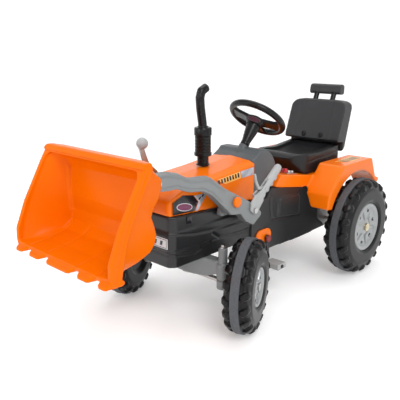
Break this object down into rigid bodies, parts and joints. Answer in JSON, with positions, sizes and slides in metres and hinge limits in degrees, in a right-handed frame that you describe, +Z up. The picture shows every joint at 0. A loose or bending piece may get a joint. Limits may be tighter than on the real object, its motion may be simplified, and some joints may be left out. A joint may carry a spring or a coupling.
{
  "type": "ride-on digger",
  "caption": "Pedal-driven ride-on tractor for a child with a front loader: tilting bucket, lifting arms, steered front wheels, seat, exhaust stack and fenders.",
  "frame": {"origin": "on the ground, in the middle of the overall length and width, with the front wheels at full left lock and the loader at its resting height", "axes": "+X forward to the bucket, +Y to the rider's left, +Z up"},
  "size_m": [1.1856, 0.5732, 0.6391],
  "materials": {
    "body_plastic": "charcoal blow-moulded plastic, fine grain",
    "orange_gloss": "orange gloss",
    "orange_bucket": "orange satin gloss",
    "grey_plastic": "mid grey moulded plastic",
    "light_plastic": "light grey moulded plastic",
    "black_plastic": "black satin",
    "seat_plastic": "dark charcoal, satin",
    "tyre_plastic": "black blow-moulded",
    "grip_rubber": "dark grey rubber",
    "silver_plastic": "silver-painted plastic",
    "steel": "zinc-plated",
    "pedal_plastic": "grey ribbed plastic",
    "blank_plate": "blank dark plate"
  },
  "bodies": {
    "chassis": {"lower_body": "body_plastic", "bonnet": "orange_gloss", "dash_cowl": "grey_plastic", "rear_deck": "orange_gloss", "seat_base": "seat_plastic", "seat_back": "seat_plastic", "seat_fixings": "steel", "headrest": "seat_plastic", "headrest_posts": "black_plastic", "exhaust_muffler": "black_plastic", "exhaust_pipe": "black_plastic", "number_plate": "blank_plate", "tow_hitch": "black_plastic", "front_axle_beam": "grey_plastic", "kingpin_bolts": "steel", "rear_axle_brackets": "steel", "drive_chain": "steel", "crank_covers": "orange_gloss", "loader_brackets": "grey_plastic", "loader_pivot_rod": "steel", "loader_pivot_caps": "orange_gloss"},
    "steering_knuckle_left": {"knuckle_left": "grey_plastic", "stub_axle_left": "steel"},
    "steering_knuckle_right": {"knuckle_right": "grey_plastic", "stub_axle_right": "steel"},
    "tie_rod": {"tie_rod": "steel"},
    "front_wheel_left": {"front_tyre_left": "tyre_plastic", "front_grip_band_left": "grip_rubber", "front_hubcap_left": "silver_plastic"},
    "front_wheel_right": {"front_tyre_right": "tyre_plastic", "front_grip_band_right": "grip_rubber", "front_hubcap_right": "silver_plastic"},
    "rear_drive": {"rear_axle": "steel", "rear_sprocket": "steel", "rear_axle_nuts": "steel", "rear_tyre_left": "tyre_plastic", "rear_grip_band_left": "grip_rubber", "rear_hubcap_left": "silver_plastic"},
    "rear_wheel_right": {"rear_tyre_right": "tyre_plastic", "rear_grip_band_right": "grip_rubber", "rear_hubcap_right": "silver_plastic"},
    "crank": {"pedal_crank": "steel", "crank_sprocket": "steel"},
    "pedal_left": {"pedal_left": "pedal_plastic"},
    "pedal_right": {"pedal_right": "pedal_plastic"},
    "steering": {"steering_shaft": "steel", "steering_wheel": "black_plastic", "column_cover": "black_plastic"},
    "horn_button": {"horn_button": "black_plastic"},
    "loader": {"loader_arm_left": "grey_plastic", "loader_arm_right": "grey_plastic", "loader_cross_tube": "steel", "grip_handle": "light_plastic", "grip_screws": "steel"},
    "grip_trigger": {"grip_trigger": "light_plastic"},
    "bucket": {"bucket": "orange_bucket", "bucket_pins": "steel"},
    "tilt_lever": {"tilt_lever": "steel", "ball_knob": "light_plastic"},
    "push_rod": {"push_rod": "steel"}
  },
  "joints": [
    {"name": "steer_left", "type": "hinge", "parent": "chassis", "child": "steering_knuckle_left", "pos_m": [0.1806, 0.147, 0.16], "axis": [0, 0, 1], "range_deg": [-46.6, 0]},
    {"name": "steer_right", "type": "hinge", "parent": "chassis", "child": "steering_knuckle_right", "pos_m": [0.1806, -0.147, 0.16], "axis": [0, 0, 1], "range_deg": [-46.6, 0]},
    {"name": "tie_rod_pivot", "type": "hinge", "parent": "steering_knuckle_left", "child": "tie_rod", "pos_m": [0.13697, 0.12821, 0.105], "axis": [0, 0, 1], "range_deg": [0, 46.6]},
    {"name": "front_wheel_left_spin", "type": "hinge", "parent": "steering_knuckle_left", "child": "front_wheel_left", "pos_m": [0.15386, 0.20909, 0.128], "axis": [-0.3955, 0.9184, 0], "continuous": true},
    {"name": "front_wheel_right_spin", "type": "hinge", "parent": "steering_knuckle_right", "child": "front_wheel_right", "pos_m": [0.20734, -0.20909, 0.128], "axis": [-0.3955, 0.9184, 0], "continuous": true},
    {"name": "rear_axle_spin", "type": "hinge", "parent": "chassis", "child": "rear_drive", "pos_m": [-0.4254, 0, 0.16], "axis": [0, 1, 0], "continuous": true},
    {"name": "rear_wheel_right_spin", "type": "hinge", "parent": "chassis", "child": "rear_wheel_right", "pos_m": [-0.4254, -0.217, 0.16], "axis": [0, 1, 0], "continuous": true},
    {"name": "crank_spin", "type": "hinge", "parent": "chassis", "child": "crank", "pos_m": [-0.0594, 0, 0.182], "axis": [0, 1, 0], "continuous": true},
    {"name": "pedal_left_spin", "type": "hinge", "parent": "crank", "child": "pedal_left", "pos_m": [-0.0594, 0.147, 0.107], "axis": [0, 1, 0], "continuous": true},
    {"name": "pedal_right_spin", "type": "hinge", "parent": "crank", "child": "pedal_right", "pos_m": [-0.0594, -0.147, 0.257], "axis": [0, 1, 0], "continuous": true},
    {"name": "steering_wheel_turn", "type": "hinge", "parent": "chassis", "child": "steering", "pos_m": [-0.1454, 0, 0.524], "axis": [-0.6184, 0, 0.7859], "range_deg": [-56.04, 0]},
    {"name": "horn_press", "type": "slide", "parent": "steering", "child": "horn_button", "axis": [0.6184, 0, -0.7859], "range_m": [0, 0.003], "stiffness_N_per_m": 600, "springref_m": -0.001},
    {"name": "loader_lift", "type": "hinge", "parent": "chassis", "child": "loader", "pos_m": [0.1266, 0, 0.338], "axis": [0, -1, 0], "range_deg": [-24, 24]},
    {"name": "trigger_squeeze", "type": "hinge", "parent": "loader", "child": "grip_trigger", "pos_m": [0.0016, 0.14, 0.352], "axis": [0, -1, 0], "range_deg": [0, 8], "stiffness_Nm_per_rad": 0.3, "springref_deg": -5.73},
    {"name": "bucket_tilt", "type": "hinge", "parent": "loader", "child": "bucket", "pos_m": [0.4026, 0, 0.436], "axis": [0, 1, 0], "range_deg": [-15, 32]},
    {"name": "tilt_lever_swing", "type": "hinge", "parent": "loader", "child": "tilt_lever", "pos_m": [0.1666, -0.114, 0.358], "axis": [0, 1, 0], "range_deg": [-15, 32]},
    {"name": "push_rod_swing", "type": "hinge", "parent": "tilt_lever", "child": "push_rod", "pos_m": [0.1696, -0.104, 0.336], "axis": [0, 1, 0], "range_deg": [-32, 15]}
  ],
  "couplings": [
    {"joint": "steer_right", "follows": "steer_left", "ratio": 1},
    {"joint": "tie_rod_pivot", "follows": "steer_left", "ratio": -1},
    {"joint": "steering_wheel_turn", "follows": "steer_left", "ratio": 1.2024},
    {"joint": "crank_spin", "follows": "rear_axle_spin", "ratio": 0.72727},
    {"joint": "tilt_lever_swing", "follows": "bucket_tilt", "ratio": 1},
    {"joint": "push_rod_swing", "follows": "bucket_tilt", "ratio": -1}
  ]
}
